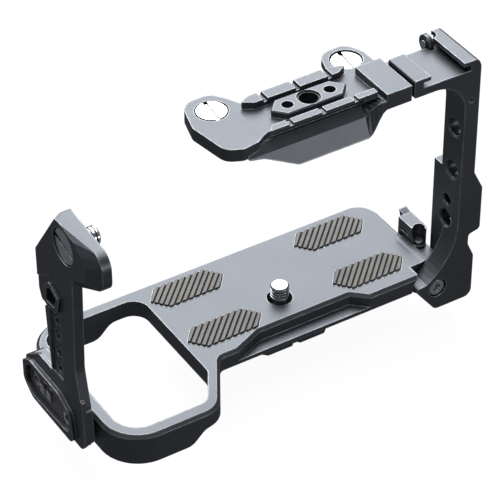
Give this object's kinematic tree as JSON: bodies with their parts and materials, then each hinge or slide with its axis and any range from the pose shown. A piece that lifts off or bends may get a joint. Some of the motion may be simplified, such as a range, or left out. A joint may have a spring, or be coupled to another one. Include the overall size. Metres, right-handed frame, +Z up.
{
  "type": "camera half cage",
  "caption": "Half cage for a compact cinema camera: base plate with a grip loop, fixed side arm, hinged arm with a cold shoe, and a top plate with accessory rails.",
  "frame": {"origin": "on the camera screw's axis, at the height of the base plate's upper face", "axes": "+Z up along the camera screw, -Y towards the lens, +X towards the hinged arm"},
  "size_m": [0.1594, 0.0666, 0.0996],
  "materials": {
    "anodised": "satin, dark grey anodised",
    "rubber": "matt, ribbed",
    "steel": "turned and polished",
    "black_steel": "blackened",
    "brass": "turned",
    "port_grey": "satin"
  },
  "bodies": {
    "cage": {"base_plate": "anodised", "pad_front_left": "rubber", "pad_back_left": "rubber", "pad_front_right": "rubber", "pad_back_right": "rubber", "mounting_foot": "anodised", "foot_screws": "steel", "camera_screw_ring": "steel", "left_arm": "anodised", "left_arm_bolts": "steel", "left_screw_ring": "steel", "strap_bar": "anodised", "port_insert": "port_grey", "port_lugs": "steel", "pivot_screw": "steel", "latch_screw": "steel", "latch_washer": "steel", "top_plate": "anodised", "top_screw_rings": "steel", "top_insert": "black_steel"},
    "base_screw": {"camera_screw": "steel"},
    "base_screw_handle": {"camera_screw_handle": "steel"},
    "side_screw": {"left_screw": "steel"},
    "lock_knob": {"port_lock_knob": "steel"},
    "hinged_arm": {"right_arm": "anodised", "pivot_bush": "brass", "shoe_stop_pin": "steel", "shoe_grub_screw": "steel"},
    "stop": {"shoe_stop": "anodised"},
    "latch": {"latch_lever": "anodised"},
    "roof_screw_left": {"top_screw_left": "steel"},
    "roof_screw_right": {"top_screw_right": "steel"}
  },
  "joints": [
    {"name": "camera_screw_turn", "type": "hinge", "parent": "cage", "child": "base_screw", "pos_m": [0, 0, 0], "axis": [0, 0, 1], "continuous": true},
    {"name": "camera_handle_fold", "type": "hinge", "parent": "base_screw", "child": "base_screw_handle", "pos_m": [0, 0, -0.0099], "axis": [1, 0, 0], "range_deg": [-90, 0]},
    {"name": "left_screw_turn", "type": "hinge", "parent": "cage", "child": "side_screw", "pos_m": [-0.088, -0.016, 0.0693], "axis": [1, 0, 0], "continuous": true},
    {"name": "lock_knob_turn", "type": "hinge", "parent": "cage", "child": "lock_knob", "pos_m": [-0.0851, -0.02, -0.0083], "axis": [0, 1, 0], "continuous": true},
    {"name": "arm_swing", "type": "hinge", "parent": "cage", "child": "hinged_arm", "pos_m": [0.053, -0.014, -0.0068], "axis": [0, 1, 0], "range_deg": [0, 90]},
    {"name": "shoe_stop_turn", "type": "hinge", "parent": "hinged_arm", "child": "stop", "pos_m": [0.058, 0.0026, 0.0807], "axis": [1, 0, 0], "continuous": true},
    {"name": "latch_swing", "type": "hinge", "parent": "cage", "child": "latch", "pos_m": [0.0572, 0.0005, 0], "axis": [0, 0, -1], "range_deg": [0, 80]},
    {"name": "top_screw_left_turn", "type": "hinge", "parent": "cage", "child": "roof_screw_left", "pos_m": [-0.0206, 0.0089, 0.0772], "axis": [0, 0, 1], "continuous": true},
    {"name": "top_screw_right_turn", "type": "hinge", "parent": "cage", "child": "roof_screw_right", "pos_m": [0.0312, 0.0098, 0.0772], "axis": [0, 0, 1], "continuous": true}
  ]
}
